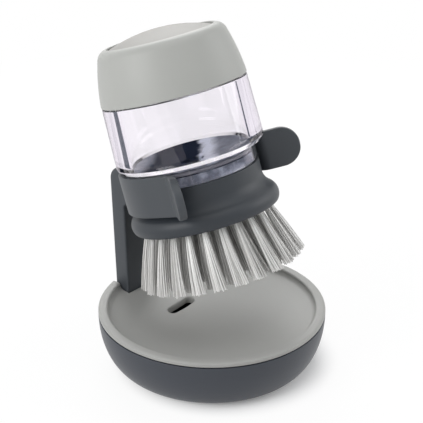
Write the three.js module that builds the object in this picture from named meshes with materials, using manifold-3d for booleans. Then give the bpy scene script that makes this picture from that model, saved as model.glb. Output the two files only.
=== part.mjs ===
// Soap-dispensing palm brush, parked in its storage stand.
// Millimetres, +Z up. The origin is the centre of the stand's resting face.
// The post stands at +Y and the cradle opens towards -Y.
// The brush leans back in the cradle. Its pieces are turned about its own axis: in their group
// +Z runs along that axis from bristle tips to button, and 0 is the reservoir's shoulder edge.

import * as THREE from "three";
import { mergeVertices } from "three/addons/utils/BufferGeometryUtils.js";
import Module from "manifold-3d";

// Fits and facets
const SEAT_GAP = 0.3; // between faces that rest on each other
const SLIDE_GAP = 0.4; // round pieces that slide or turn in each other
const SIDES = 36; // facets round a piece that shows
const INNER_SIDES = 24; // facets round a small or hidden piece

// Base bowl and its pad
const BOWL_R = 55.4; // outside, at the rim
const BOWL_FOOT_R = 42; // flat underside
const BOWL_TOP = 26.2; // height of the rim's top
const BOWL_WALL = 2.6;
const BOWL_FLOOR = 3; // thickness of the floor above the pad
const PAD_T = 1.2;
const PAD_PROUD = 0.5; // how far the pad stands below the bowl
const PAD_MARGIN = 2.5; // ring of bowl left round the pad

// Drip tray
const TRAY_TOP = 29; // height of the rim's crest
const DISH_FLOOR = 19.9; // height of the dish's middle
const DISH_RISE = 6.1; // from the middle to the foot of the rim's inner wall
const DISH_CURVE = 1.8; // power of the dish's rise
const TRAY_T = 2;
const RIM_W = 4.8; // width of the rim's rounded band
const RIM_ROUND = 1.9; // height of the rim's rounded top
const RIM_DRAFT = 0.7; // how far the rim's inner wall leans in
const SKIRT_DROP = 1.7; // locating skirt below the rim, inside the bowl
const SLOT_L = 18;
const SLOT_W = 5.2;
const SLOT_Y = 19.5;

// Post and cradle
const POST_W = 23.6;
const POST_T = 8.2;
const POST_INSET = 3.2; // bowl wall behind the post, measured from the rim's outside
const POST_RAKE = 0.029; // backward lean of the post, per unit of height
const POST_ROUND = 7; // round of the post's top corner
const POCKET_DEPTH = 3; // how far the post's pocket goes down the bowl's wall
const FOOT_L = 20; // foot plate in front of the post
const FOOT_T = 5;
const ARM_T = 3.6;
const ARM_H = 19;
const ARM_L = 15.5; // straight arm in front of the neck's centre
const TIP_L = 17.9; // flared tip
const TIP_FLARE = 40.7; // degrees outwards
const CRADLE_GAP = 0.52; // round the widest part of the waist inside the cradle

// Screws that hold the post's foot
const SCREW_R = 1.4;
const SCREW_HEAD_R = 2.8;
const SCREW_HEAD_H = 1.4;
const SCREW_GRIP = 4.5; // length in the foot plate
const SCREW_SPACING = 14;

// How the brush is parked
const LEAN = 18.3; // degrees backwards
const TIP_CLEARANCE = 17.28; // lowest bristle tip above the dish's middle

// Reservoir
const BORE_R = 28.3;
const NECK_WALL = 2;
const NECK_H = 8.5; // clear neck below the shoulder
const SHOULDER_R = 35.4;
const SHOULDER_EDGE = 2.3; // from the shoulder's edge to its underside
const SHOULDER_ROUND = 1.2;
const BODY_H = 29; // shoulder edge to the cap joint
const BODY_TOP_R = 34.6;
const MOUTH_WALL = 1.7;
const MOUTH_H = 10; // threaded mouth inside the cap

// Screw thread of mouth and cap
const PITCH = 4;
const THREAD_TURNS = 1.25;
const THREAD_DEPTH = 1;
const THREAD_W = 1.5; // ridge width at its root
const THREAD_LEAD_IN = 2.2; // first ridge above the cap joint

// Cap
const CAP_JOINT = 0.4; // groove between reservoir and cap
const CAP_R = 34.8;
const CAP_H = 25.5; // joint to crest
const CAP_TAPER = 4.25; // how much the side draws in
const CAP_TAPER_LINEAR = 0.45; // share of it that is straight, the rest is curved
const CAP_ROUND = 5.5; // round of the top edge
const SLEEVE_L = 5.3; // guide of the button, below the crest
const CAP_LEDGE = 1.7; // step that the pump plate seats against

// Button
const BUTTON_GAP = 0.7; // all round
const BUTTON_SINK = 0.9; // its edge below the crest
const BUTTON_DOME = 4.5;
const BUTTON_WALL = 1.8;
const BUTTON_TOP_T = 0.8; // at its edge
const BUTTON_FLANGE = 2.4; // stop ring below the sleeve
const BUTTON_FLANGE_T = 1.3;

// Pump
const GASKET_T = 1.3;
const GASKET_W = 1.6;
const PLATE_T = 1.8;
const BELLOWS_R = 19;
const BELLOWS_FOLD = 3.6; // depth of a fold
const BELLOWS_WALL = 1.2;
const BELLOWS_FOOT = 1.6; // foot ring outside the folds
const BELLOWS_FOLDS = 2;
const AIR_STEM_R = 1.9;
const AIR_DISC_R = 5.5;
const AIR_DISC_T = 1;

// Brush head
const PLUG_TOP = -1; // height of the floor's rim inside the reservoir
const FUNNEL_DEPTH = 3.5;
const FUNNEL_EDGE = 1.7; // flat rim round the funnel
const SOAP_R = 5.5;
const SOAP_WALL = 2.5;
const SEAL_R = 0.95; // O-ring section
const SEAL_DEPTH = 4.2; // O-ring centre below the plug's top
const WAIST_END = 6.4; // straight waist below the neck
const LIP_R = 35.9;
const LIP_ROUND = 5.7;
const LIP_DROP = 17.6; // widest part of the lip below the neck
const LIP_END = 26; // degrees round the lip to its lower edge
const LIP_EDGE = 0.7; // eased edge of the lip's flat underside
const HEAD_WALL = 1.7;
const HEAD_TOP_T = 3.5; // floor above the head's chamber

// Bristle block and soap outlet
const BLOCK_R = 31.1;
const BLOCK_T = 5.3;
const BLOCK_LEDGE = 2.6; // step in the head that the block seats against
const BACKING_T = 1.5; // slice that the strands are fused to
const OUTLET_R = 6.2;
const OUTLET_WALL = 2.2;
const VALVE_FLANGE_T = 1.2;
const VALVE_LIP = 1.8; // step that holds the valve's flange
const VALVE_DEPTH = 3.4;
const VALVE_WALL = 0.9;

// Bristles: radii of the rows at the block and at the tips, and the inside of each row's backing
const OUTER_BASE = 28.6;
const OUTER_TIP = 38;
const OUTER_BACKING = 24.6;
const MIDDLE_BASE = 21.2;
const MIDDLE_TIP = 28;
const MIDDLE_BACKING = 16.6;
const INNER_BASE = 12.4;
const INNER_TIP = 16;
const INNER_BACKING = 7.2;
const TUFT_ROWS = [
  { name: "bristles_outer", tufts: 24, turn: 0.27, base: OUTER_BASE, tip: OUTER_TIP, from: OUTER_BACKING },
  { name: "bristles_middle", tufts: 18, turn: 0.5, base: MIDDLE_BASE, tip: MIDDLE_TIP, from: MIDDLE_BACKING },
  { name: "bristles_inner", tufts: 12, turn: 0, base: INNER_BASE, tip: INNER_TIP, from: INNER_BACKING },
];
const TUFT_STRANDS = 6;
const TUFT_R = 1.2; // strand circle at the block
const TUFT_SPREAD = 2.4; // strand circle at the tips, outwards
const TUFT_FAN = 3.1; // strand circle at the tips, sideways
const STRAND_R = 0.55;
const STRAND_SIDES = 3;
const TIP_DEPTH = 59.4; // tips below the shoulder's edge

// Colours and finishes
const LIGHT_GREY = { color: 0xb3b5b0, roughness: 0.55, metalness: 0 };
const PALE_GREY = { color: 0xc6c7c2, roughness: 0.55, metalness: 0 };
const SLATE = { color: 0x53595e, roughness: 0.6, metalness: 0 };
const CLEAR = { color: 0xe9e7f2, roughness: 0.05, metalness: 0, transparent: true, opacity: 0.3 };
const BRISTLE = { color: 0xd8d7d2, roughness: 0.6, metalness: 0 };
const SILICONE = { color: 0xcfd0cc, roughness: 0.7, metalness: 0 };
const DARK_RUBBER = { color: 0x2e3133, roughness: 0.85, metalness: 0 };
const STEEL = { color: 0xb8bbbd, roughness: 0.3, metalness: 1 };

const wasm = await Module();
wasm.setup();

const RAD = Math.PI / 180;
const object = new THREE.Group();
const brush = new THREE.Group();
object.add(brush);

// Shape helpers

/** Points of an arc in a profile, from one angle to another in degrees. */
function arc(centreR, centreZ, radius, fromDeg, toDeg, steps) {
  return Array.from({ length: steps + 1 }, (_, i) => {
    const angle = (fromDeg + ((toDeg - fromDeg) * i) / steps) * RAD;
    return [centreR + radius * Math.cos(angle), centreZ + radius * Math.sin(angle)];
  });
}

/** A piece turned about Z from [radius, height] points. Off the axis the profile closes on itself. */
function turned(profile, sides = SIDES) {
  const closed = profile[0][0] > 0 ? [...profile, profile[0]] : profile;
  const points = closed.map(([radius, height]) => new THREE.Vector2(radius, height));
  return new THREE.LatheGeometry(points, sides).rotateX(Math.PI / 2);
}

/** A flat outline raised along Z. */
function raised(shape, bottom, top, curveSegments = INNER_SIDES / 2) {
  const options = { depth: top - bottom, bevelEnabled: false, curveSegments };
  return new THREE.ExtrudeGeometry(shape, options).translate(0, 0, bottom);
}

/** A box between two corners. */
function block(low, high) {
  const size = high.map((value, i) => value - low[i]);
  const middle = high.map((value, i) => (value + low[i]) / 2);
  return new THREE.BoxGeometry(...size).translate(...middle);
}

/** Rings of points joined into one closed skin with flat ends. */
function skinned(rings) {
  const count = rings[0].length;
  const faces = [];
  for (let i = 0; i + 1 < rings.length; i++) {
    for (let j = 0; j < count; j++) {
      const a = i * count + j;
      const b = i * count + ((j + 1) % count);
      faces.push(a, b, b + count, a, b + count, a + count);
    }
  }
  const last = (rings.length - 1) * count;
  for (let j = 1; j + 1 < count; j++) {
    faces.push(0, j + 1, j, last, last + j, last + j + 1);
  }
  const geometry = new THREE.BufferGeometry();
  geometry.setAttribute("position", new THREE.Float32BufferAttribute(rings.flat(2), 3));
  geometry.setIndex(faces);
  return geometry;
}

/** A screw thread's ridge: a [radius, height] section carried up a right-hand helix. */
function ridge(section, turns) {
  const steps = Math.ceil(turns * SIDES);
  const rings = Array.from({ length: steps + 1 }, (_, i) => {
    const angle = (2 * Math.PI * turns * i) / steps;
    const lift = (PITCH * turns * i) / steps;
    return section.map(([radius, height]) => [
      radius * Math.cos(angle), radius * Math.sin(angle), height + lift,
    ]);
  });
  return skinned(rings);
}

/** A closed geometry as a solid, with shared vertices merged and faces turned outwards. */
function solid(geometry) {
  const bare = new THREE.BufferGeometry();
  bare.setAttribute("position", geometry.getAttribute("position"));
  bare.setIndex(geometry.index);
  const merged = mergeVertices(bare);
  const vertices = new Float32Array(merged.getAttribute("position").array);
  const index = merged.index.array;
  const corner = (i) => new THREE.Vector3().fromArray(vertices, 3 * i);
  const triangles = [];
  let volume = 0;
  for (let i = 0; i < index.length; i += 3) {
    const [a, b, c] = [index[i], index[i + 1], index[i + 2]];
    if (a === b || b === c || c === a) continue;
    triangles.push([a, b, c]);
    volume += corner(a).dot(corner(b).cross(corner(c)));
  }
  const outward = volume > 0 ? triangles : triangles.map(([a, b, c]) => [a, c, b]);
  const mesh = new wasm.Mesh({
    numProp: 3, vertProperties: vertices, triVerts: new Uint32Array(outward.flat()),
  });
  return new wasm.Manifold(mesh);
}

/** Adds a solid to a group as a named mesh with its own material. */
function place(group, name, finish, body) {
  const mesh = body.getMesh();
  const geometry = new THREE.BufferGeometry();
  geometry.setAttribute("position", new THREE.BufferAttribute(mesh.vertProperties, 3));
  geometry.setIndex(new THREE.BufferAttribute(mesh.triVerts, 1));
  geometry.computeVertexNormals();
  const piece = new THREE.Mesh(geometry, new THREE.MeshStandardMaterial(finish));
  piece.name = name;
  group.add(piece);
}

// Heights and radii that several pieces share, along the brush

const neckR = BORE_R + NECK_WALL;
const shoulderUnder = -SHOULDER_EDGE;
const neckBottom = shoulderUnder - NECK_H;
const headTop = neckBottom - SEAT_GAP;
const lipHeight = headTop - LIP_DROP;
const lipCentreR = LIP_R - LIP_ROUND;
const flareTop = headTop - WAIST_END;

// The waist's hollow arc starts upright at the neck's radius and meets the lip's round tangentially
const flareReach = flareTop - lipHeight;
const flareInset = neckR - lipCentreR;
const flareR =
  (flareInset ** 2 + flareReach ** 2 - LIP_ROUND ** 2) / (2 * (LIP_ROUND - flareInset));
const flareCentreR = neckR + flareR;
const tangentDeg = Math.atan2(flareReach, flareCentreR - lipCentreR) / RAD;

/** Radius of the waist at a height on its hollow arc. */
function waistRadius(height) {
  return flareCentreR - Math.sqrt(flareR ** 2 - Math.min(height - flareTop, 0) ** 2);
}

const armTop = shoulderUnder - SEAT_GAP;
const armBottom = armTop - ARM_H;
const cradleIn = waistRadius(armBottom) + CRADLE_GAP;
const cradleOut = cradleIn + ARM_T;

// Where the brush is parked in the stand

const leanSin = Math.sin(LEAN * RAD);
const leanCos = Math.cos(LEAN * RAD);
const tipReach = Math.max(...TUFT_ROWS.map((row) => row.tip)) + TUFT_SPREAD + STRAND_R;
const parkZ = DISH_FLOOR + TIP_CLEARANCE + TIP_DEPTH * leanCos + tipReach * leanSin;
const postFront = BOWL_R - POST_INSET - POST_T;
const cradleBackZ = parkZ - cradleOut * leanSin + armTop * leanCos;
const parkY =
  postFront + (cradleBackZ - BOWL_TOP) * POST_RAKE - cradleOut * leanCos - armTop * leanSin;
brush.position.set(0, parkY, parkZ);
brush.rotation.x = -LEAN * RAD;
brush.updateMatrix();

/** The stand's [y, z] of a point behind the brush's axis at a height along it. */
function parked(back, height) {
  return [
    parkY + back * leanCos + height * leanSin,
    parkZ - back * leanSin + height * leanCos,
  ];
}

// Base bowl: flat foot, elliptical wall, recess for the pad, holes for the post's screws

const floorUnder = PAD_T + SEAT_GAP;
const floorTop = floorUnder + BOWL_FLOOR;
const padR = BOWL_FOOT_R - PAD_MARGIN;
const BOWL_STEPS = 6;

/** Radius of the bowl's outside at a height. */
function bowlRadius(height) {
  const rise = (BOWL_TOP - height) / (BOWL_TOP - PAD_PROUD);
  return BOWL_FOOT_R + (BOWL_R - BOWL_FOOT_R) * Math.sqrt(Math.max(0, 1 - rise ** 2));
}

/** Points up the bowl's wall, drawn in by an inset, between two heights. */
function bowlWall(from, to, inset) {
  return Array.from({ length: BOWL_STEPS + 1 }, (_, i) => {
    const height = to - (to - from) * Math.cos((i * Math.PI) / (2 * BOWL_STEPS));
    return [bowlRadius(height) - inset, height];
  });
}

const screwY = postFront - FOOT_L / 2;
const screwX = SCREW_SPACING / 2;
const headTopZ = floorUnder + SEAT_GAP + SCREW_HEAD_H;

/** The pieces of one screw: head and shank grown by a clearance. */
function screwSolid(x, clearance) {
  const low = floorUnder + (clearance ? -SEAT_GAP : SEAT_GAP);
  const shoulder = headTopZ + (clearance ? SEAT_GAP : 0);
  const top = floorTop + SEAT_GAP + SCREW_GRIP + clearance;
  const profile = [
    [0, low],
    [SCREW_HEAD_R + clearance, low],
    [SCREW_HEAD_R + clearance, shoulder],
    [SCREW_R + clearance, shoulder],
    [SCREW_R + clearance, top],
    [0, top],
  ];
  return solid(turned(profile, INNER_SIDES / 2).translate(x, screwY, 0));
}

const pocketFloor = BOWL_TOP - POCKET_DEPTH;
const postBackAtRim = postFront + POST_T;
const pocket = block(
  [-POST_W / 2 - SEAT_GAP, 0, pocketFloor],
  [POST_W / 2 + SEAT_GAP, postBackAtRim + SEAT_GAP, TRAY_TOP],
);
let bowl = solid(turned([
  [0, floorUnder],
  [padR + SLIDE_GAP, floorUnder],
  [padR + SLIDE_GAP, PAD_PROUD],
  ...bowlWall(PAD_PROUD, BOWL_TOP, 0),
  ...bowlWall(floorTop, BOWL_TOP, BOWL_WALL).reverse(),
  [0, floorTop],
]));
bowl = bowl.subtract(solid(pocket));
for (const side of [-1, 1]) {
  bowl = bowl.subtract(screwSolid(side * screwX, SEAT_GAP));
}
place(object, "base_bowl", SLATE, bowl);
place(object, "base_pad", DARK_RUBBER, solid(turned([[0, 0], [padR, 0], [padR, PAD_T], [0, PAD_T]])));
place(object, "post_screw_left", STEEL, screwSolid(-screwX, 0));
place(object, "post_screw_right", STEEL, screwSolid(screwX, 0));

// Drip tray: shallow dish inside a rounded rim, with a drain slot and a notch for the post

const rimR = BOWL_R - RIM_W / 2;
const rimZ = TRAY_TOP - RIM_ROUND;
const wallR = BOWL_R - RIM_W;
const dishR = wallR - RIM_DRAFT;
const skirtR = BOWL_R - BOWL_WALL - SLIDE_GAP;
const trayUnder = BOWL_TOP + SEAT_GAP;
const DISH_STATIONS = [0.3, 0.55, 0.78, 1];
const RIM_STEPS = 6;

/** Height of the dish at a radius: it rises gently from the middle to the rim's inner wall. */
function dishHeight(radius) {
  return DISH_FLOOR + DISH_RISE * (radius / dishR) ** DISH_CURVE;
}

/** The rim's rounded band, a half ellipse from its outside to its inside. */
const rimTop = arc(0, 0, 1, 0, 180, RIM_STEPS).map(([across, up]) => [
  rimR + (RIM_W / 2) * across, rimZ + RIM_ROUND * up,
]);

const dishTop = DISH_STATIONS.map((share) => [share * dishR, dishHeight(share * dishR)]);
const dishUnder = dishTop.map(([radius, height]) => [radius - TRAY_T / 2, height - TRAY_T]);
const slot = new THREE.Shape();
const slotHalf = (SLOT_L - SLOT_W) / 2;
slot.moveTo(-slotHalf, -SLOT_W / 2);
slot.lineTo(slotHalf, -SLOT_W / 2);
slot.absarc(slotHalf, 0, SLOT_W / 2, -Math.PI / 2, Math.PI / 2, false);
slot.lineTo(-slotHalf, SLOT_W / 2);
slot.absarc(-slotHalf, 0, SLOT_W / 2, Math.PI / 2, (3 * Math.PI) / 2, false);
const notch = block(
  [-POST_W / 2 - SLIDE_GAP, postFront - (BOWL_TOP - DISH_FLOOR) * POST_RAKE - SLIDE_GAP, 0],
  [POST_W / 2 + SLIDE_GAP, 2 * BOWL_R, 2 * TRAY_TOP],
);
const tray = solid(turned([
  [0, DISH_FLOOR - TRAY_T],
  ...dishUnder,
  [skirtR, trayUnder - SKIRT_DROP],
  [skirtR, trayUnder],
  [BOWL_R, trayUnder],
  ...rimTop,
  ...dishTop.reverse(),
  [0, DISH_FLOOR],
]));
const drain = solid(raised(slot, 0, TRAY_TOP, INNER_SIDES / 4).translate(0, SLOT_Y, 0));
place(object, "drip_tray", LIGHT_GREY, tray.subtract(drain).subtract(solid(notch)));

// Cradle post: raked post with a foot plate, a U band round the brush's neck and two flared tips

const frontLine = (z) => postFront + (z - BOWL_TOP) * POST_RAKE;
const footBottom = floorTop + SEAT_GAP;
const footTop = footBottom + FOOT_T;
const webBack =
  (postFront + (parkZ + armBottom * leanCos - BOWL_TOP) * POST_RAKE - parkY - armBottom * leanSin)
  / (leanCos + POST_RAKE * leanSin);
const webFront = cradleIn + ARM_T / 4;
const topBack =
  (postFront + POST_T + (parkZ + armTop * leanCos - BOWL_TOP) * POST_RAKE - parkY - armTop * leanSin)
  / (leanCos + POST_RAKE * leanSin);
const topCorner = parked(topBack, armTop);
const roundStart = parked(topBack - POST_ROUND, armTop);
const side = new THREE.Shape();
side.moveTo(postFront - FOOT_L, footBottom);
side.lineTo(frontLine(footBottom) + POST_T, footBottom);
side.lineTo(topCorner[0] - POST_ROUND * POST_RAKE, topCorner[1] - POST_ROUND);
side.quadraticCurveTo(...topCorner, ...roundStart);
side.lineTo(...parked(webFront, armTop));
side.lineTo(...parked(webFront, armBottom));
side.lineTo(...parked(webBack, armBottom));
side.lineTo(frontLine(footTop), footTop);
side.lineTo(postFront - FOOT_L, footTop);

const sideways = new THREE.Matrix4().makeBasis(
  new THREE.Vector3(0, 1, 0), new THREE.Vector3(0, 0, 1), new THREE.Vector3(1, 0, 0),
);
const post = solid(raised(side, -POST_W / 2, POST_W / 2, INNER_SIDES / 4).applyMatrix4(sideways));
const splitZ = pocketFloor + SEAT_GAP;
const abovePocket = solid(block([-BOWL_R, -BOWL_R, splitZ], [BOWL_R, 2 * BOWL_R, 2 * parkZ]));
const insideBowl = solid(turned([
  [0, footBottom],
  ...bowlWall(footBottom, splitZ + SEAT_GAP, BOWL_WALL + SLIDE_GAP),
  [0, splitZ + SEAT_GAP],
]));
let cradle = post.intersect(abovePocket).add(post.intersect(insideBowl));

const band = new THREE.Shape();
band.moveTo(cradleOut, -ARM_L);
band.lineTo(cradleOut, 0);
band.absarc(0, 0, cradleOut, 0, Math.PI, false);
band.lineTo(-cradleOut, -ARM_L);
band.lineTo(-cradleIn, -ARM_L);
band.lineTo(-cradleIn, 0);
band.absarc(0, 0, cradleIn, Math.PI, 0, true);
band.lineTo(cradleIn, -ARM_L);
cradle = cradle.add(solid(raised(band, armBottom, armTop).applyMatrix4(brush.matrix)));

const tip = new THREE.Shape();
const tipRound = ARM_H / 2;
tip.moveTo(0, armBottom);
tip.lineTo(TIP_L - tipRound, armBottom);
tip.absarc(TIP_L - tipRound, armBottom + tipRound, tipRound, -Math.PI / 2, Math.PI / 2, false);
tip.lineTo(0, armTop);
for (const sign of [-1, 1]) {
  const along = new THREE.Vector3(sign * Math.sin(TIP_FLARE * RAD), -Math.cos(TIP_FLARE * RAD), 0);
  const up = new THREE.Vector3(0, 0, 1);
  const outward = new THREE.Vector3(sign * Math.cos(TIP_FLARE * RAD), Math.sin(TIP_FLARE * RAD), 0);
  const turn = new THREE.Matrix4().makeBasis(along, up, outward).setPosition(sign * cradleIn, -ARM_L, 0);
  const paddle = raised(tip, 0, ARM_T).applyMatrix4(turn).applyMatrix4(brush.matrix);
  cradle = cradle.add(solid(paddle));
  cradle = cradle.subtract(screwSolid(sign * screwX, SEAT_GAP));
}
place(object, "cradle_post", SLATE, cradle);

// Reservoir: thick clear body with a straight bore, stepped-in neck and threaded mouth

const mouthR = BORE_R + MOUTH_WALL;
const mouthTop = BODY_H + MOUTH_H;
const roundR = SHOULDER_R - SHOULDER_ROUND;
const threadBase = BODY_H + CAP_JOINT + THREAD_LEAD_IN;
const THREAD_CREST = 0.6; // crest width as a share of the root's
const THREAD_BITE = 0.4; // how deep a ridge is sunk into its wall
const mouthRidge = ridge([
  [mouthR - THREAD_BITE, threadBase - THREAD_W / 2],
  [mouthR + THREAD_DEPTH, threadBase - (THREAD_W * THREAD_CREST) / 2],
  [mouthR + THREAD_DEPTH, threadBase + (THREAD_W * THREAD_CREST) / 2],
  [mouthR - THREAD_BITE, threadBase + THREAD_W / 2],
], THREAD_TURNS);
const reservoir = solid(turned([
  [BORE_R, neckBottom],
  [neckR, neckBottom],
  [neckR, shoulderUnder],
  ...arc(roundR, shoulderUnder + SHOULDER_ROUND, SHOULDER_ROUND, -90, 0, 3),
  [SHOULDER_R, 0],
  [BODY_TOP_R, BODY_H],
  [mouthR, BODY_H],
  [mouthR, mouthTop],
  [BORE_R, mouthTop],
]));
place(brush, "reservoir", CLEAR, reservoir.add(solid(mouthRidge)));

// Cap shell: tapered side, rounded crest, button sleeve, ledge for the pump plate and inner thread

const capBottom = BODY_H + CAP_JOINT;
const crest = capBottom + CAP_H;
const capIn = mouthR + THREAD_DEPTH + SEAT_GAP;
const capTopR = CAP_R - CAP_TAPER;
const endSlopeShare = 2 - CAP_TAPER_LINEAR;

// The side ends where the crest's round meets it tangentially
let sideH = CAP_H - CAP_ROUND;
let sideDeg = 0;
for (let i = 0; i < 8; i++) {
  sideDeg = Math.atan((CAP_TAPER * endSlopeShare) / sideH) / RAD;
  sideH = CAP_H - CAP_ROUND * (1 - Math.sin(sideDeg * RAD));
}
const roundCentreR = capTopR - CAP_ROUND * Math.cos(sideDeg * RAD);
const roundCentreZ = crest - CAP_ROUND;
const openingR = roundCentreR;
const CAP_STATIONS = [0, 0.25, 0.5, 0.75];

/** Outside radius of the cap's side at a share of its height. */
function capRadius(share) {
  const drawn = CAP_TAPER_LINEAR * share + (1 - CAP_TAPER_LINEAR) * share ** 2;
  return CAP_R - CAP_TAPER * drawn;
}

const plateBottom = mouthTop + GASKET_T + 2 * SEAT_GAP;
const plateTop = plateBottom + PLATE_T;
const ledge = plateTop + SEAT_GAP;
const sleeveBottom = crest - SLEEVE_L - BUTTON_SINK / 2;
const capRidgeBase = threadBase + PITCH / 2;
const capRidge = ridge([
  [capIn + THREAD_BITE, capRidgeBase - THREAD_W / 2],
  [capIn - THREAD_DEPTH, capRidgeBase - (THREAD_W * THREAD_CREST) / 2],
  [capIn - THREAD_DEPTH, capRidgeBase + (THREAD_W * THREAD_CREST) / 2],
  [capIn + THREAD_BITE, capRidgeBase + THREAD_W / 2],
], THREAD_TURNS);
const capBody = solid(turned([
  ...CAP_STATIONS.map((share) => [capRadius(share), capBottom + share * sideH]),
  ...arc(roundCentreR, roundCentreZ, CAP_ROUND, sideDeg, 90, 5),
  [openingR, sleeveBottom],
  [capIn - CAP_LEDGE, sleeveBottom],
  [capIn - CAP_LEDGE, ledge],
  [capIn, ledge],
  [capIn, capBottom],
]));
place(brush, "cap_shell", LIGHT_GREY, capBody.add(solid(capRidge)));

// Press button: domed top, skirt in the sleeve and a stop ring below it

const buttonR = openingR - BUTTON_GAP;
const buttonEdge = crest - BUTTON_SINK;
const buttonUnder = buttonEdge - BUTTON_TOP_T;
const stopTop = sleeveBottom - SEAT_GAP;
const domeR = (buttonR ** 2 + BUTTON_DOME ** 2) / (2 * BUTTON_DOME);
const domeDeg = Math.asin(buttonR / domeR) / RAD;
const dome = arc(0, buttonEdge + BUTTON_DOME - domeR, domeR, 90 - domeDeg, 90, 6);
dome[dome.length - 1][0] = 0;
place(brush, "press_button", PALE_GREY, solid(turned([
  [0, buttonUnder],
  [buttonR - BUTTON_WALL, buttonUnder],
  [buttonR - BUTTON_WALL, stopTop - BUTTON_FLANGE_T],
  [buttonR + BUTTON_FLANGE, stopTop - BUTTON_FLANGE_T],
  [buttonR + BUTTON_FLANGE, stopTop],
  [buttonR, stopTop],
  ...dome,
])));

// Pump: gasket on the mouth, plate with its valve, and the bellows that returns the button

const gasketBottom = mouthTop + SEAT_GAP;
place(brush, "cap_gasket", DARK_RUBBER, solid(turned([
  [mouthR - GASKET_W, gasketBottom],
  [mouthR, gasketBottom],
  [mouthR, gasketBottom + GASKET_T],
  [mouthR - GASKET_W, gasketBottom + GASKET_T],
], INNER_SIDES)));
place(brush, "pump_plate", PALE_GREY, solid(turned([
  [AIR_STEM_R + SEAT_GAP, plateBottom],
  [capIn - SEAT_GAP, plateBottom],
  [capIn - SEAT_GAP, plateTop],
  [AIR_STEM_R + SEAT_GAP, plateTop],
], INNER_SIDES)));
place(brush, "air_valve", SILICONE, solid(turned([
  [0, plateBottom - SEAT_GAP - AIR_DISC_T],
  [AIR_DISC_R, plateBottom - SEAT_GAP - AIR_DISC_T],
  [AIR_DISC_R, plateBottom - SEAT_GAP],
  [AIR_STEM_R, plateBottom - SEAT_GAP],
  [AIR_STEM_R, plateTop + SEAT_GAP],
  [AIR_STEM_R + AIR_DISC_T, plateTop + SEAT_GAP],
  [0, plateTop + SEAT_GAP + AIR_DISC_R / 2],
], INNER_SIDES)));

const bellowsBottom = plateTop + SEAT_GAP;
const bellowsTop = buttonUnder - SEAT_GAP;
const foldH = (bellowsTop - bellowsBottom - 2 * BELLOWS_WALL) / (2 * BELLOWS_FOLDS);
const folds = Array.from({ length: 2 * BELLOWS_FOLDS + 1 }, (_, i) => [
  BELLOWS_R - (i % 2 ? 0 : BELLOWS_FOLD), bellowsTop - BELLOWS_WALL - i * foldH,
]);
const foldsInside = folds.map(([radius, height]) => [radius - BELLOWS_WALL, height]);
place(brush, "pump_bellows", SILICONE, solid(turned([
  [0, bellowsTop],
  [folds[0][0], bellowsTop],
  ...folds,
  [BELLOWS_R + BELLOWS_FOOT, bellowsBottom + BELLOWS_WALL],
  [BELLOWS_R + BELLOWS_FOOT, bellowsBottom],
  [foldsInside.at(-1)[0], bellowsBottom],
  ...foldsInside.reverse(),
  [0, bellowsTop - BELLOWS_WALL],
], INNER_SIDES)));

// Brush head: plug with funnel and O-ring groove, waist, flared lip and the chamber behind the block

const plugR = BORE_R - SLIDE_GAP;
const sealHeight = PLUG_TOP - SEAL_DEPTH;
const sealCentreR = BORE_R - SEAT_GAP - SEAL_R;
const grooveR = sealCentreR - SEAL_R - SEAT_GAP / 2;
const grooveHalf = SEAL_R + SEAT_GAP;
const funnelBottom = PLUG_TOP - FUNNEL_DEPTH;
const chamberTop = funnelBottom - HEAD_TOP_T;
const backingR = BLOCK_R - SEAT_GAP;
const recessR = BLOCK_R + SEAT_GAP;
const lip = arc(lipCentreR, lipHeight, LIP_ROUND, tangentDeg, -LIP_END, 6);
const [lipEdgeR, lipEdgeZ] = lip.at(-1);
const lipUnder = lipEdgeZ - LIP_EDGE;
const backingBottom = lipUnder + SEAT_GAP;
const blockBottom = backingBottom + BACKING_T + SEAT_GAP;
const blockTop = blockBottom + BLOCK_T;
const blockSeat = blockTop + SEAT_GAP;
const chamberR = neckR - HEAD_WALL;
const plugChamberR = Math.min(grooveR, chamberR) - HEAD_WALL / 2;
const soapTubeR = SOAP_R + SOAP_WALL;
place(brush, "head_collar", SLATE, solid(turned([
  [SOAP_R, funnelBottom],
  [plugR - FUNNEL_EDGE, PLUG_TOP],
  [plugR, PLUG_TOP],
  [plugR, sealHeight + grooveHalf],
  [grooveR, sealHeight + grooveHalf],
  [grooveR, sealHeight - grooveHalf],
  [plugR, sealHeight - grooveHalf],
  [plugR, headTop],
  [neckR, headTop],
  ...arc(flareCentreR, flareTop, flareR, 180, 180 + tangentDeg, 5),
  ...lip.slice(1),
  [lipEdgeR - LIP_EDGE, lipUnder],
  [recessR, lipUnder],
  [recessR, blockSeat],
  [recessR - BLOCK_LEDGE, blockSeat],
  [chamberR, flareTop],
  [plugChamberR, headTop],
  [plugChamberR, chamberTop],
  [soapTubeR, chamberTop],
  [soapTubeR, blockSeat],
  [SOAP_R, blockSeat],
])));
place(brush, "head_seal", DARK_RUBBER, solid(turned(
  arc(sealCentreR, sealHeight, SEAL_R, 0, 360, 6).slice(0, -1),
)));

// Bristle block with the soap outlet, its slit valve and the ring that holds it

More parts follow.
